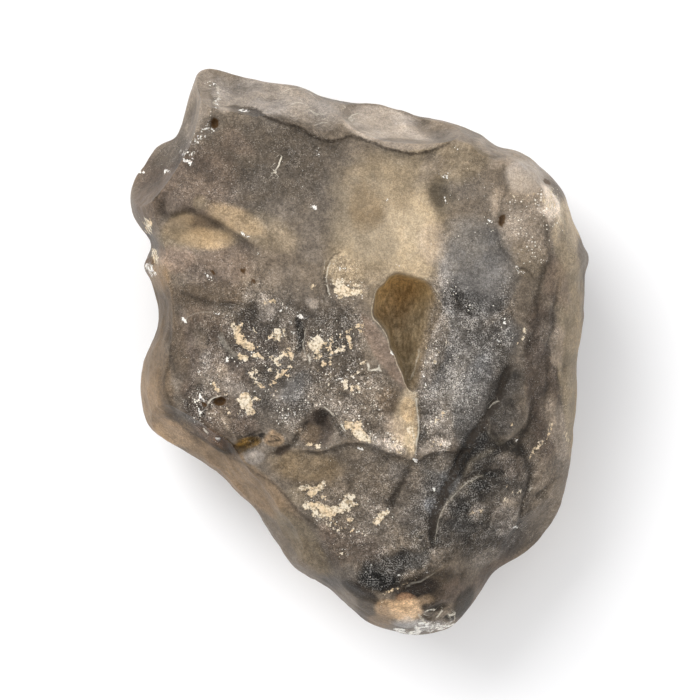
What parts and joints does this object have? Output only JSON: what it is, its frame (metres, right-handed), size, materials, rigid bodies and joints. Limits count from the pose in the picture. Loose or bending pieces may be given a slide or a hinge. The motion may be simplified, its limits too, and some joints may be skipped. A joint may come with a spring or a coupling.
{
  "type": "desert glass specimen",
  "caption": "Frosted, wind-worn lump of natural impact glass with a teardrop hollow in its flat front face and a horn at one corner, lying on its back.",
  "frame": {"origin": "centre of the bounding box at the bottom, where the flat place on the stone's back lies on the surface", "axes": "+Z up, out of the front face with the hollow; +Y along the stone's length towards the corner with the horn; +X across it, to the right as seen from the front with +Y up"},
  "size_m": [0.0494, 0.0608, 0.025],
  "materials": {
    "glass": "frosted and wind-worn, smoky grey-brown glass with milky and tan patches"
  },
  "bodies": {
    "root": {"desert_glass": "glass"}
  },
  "joints": []
}
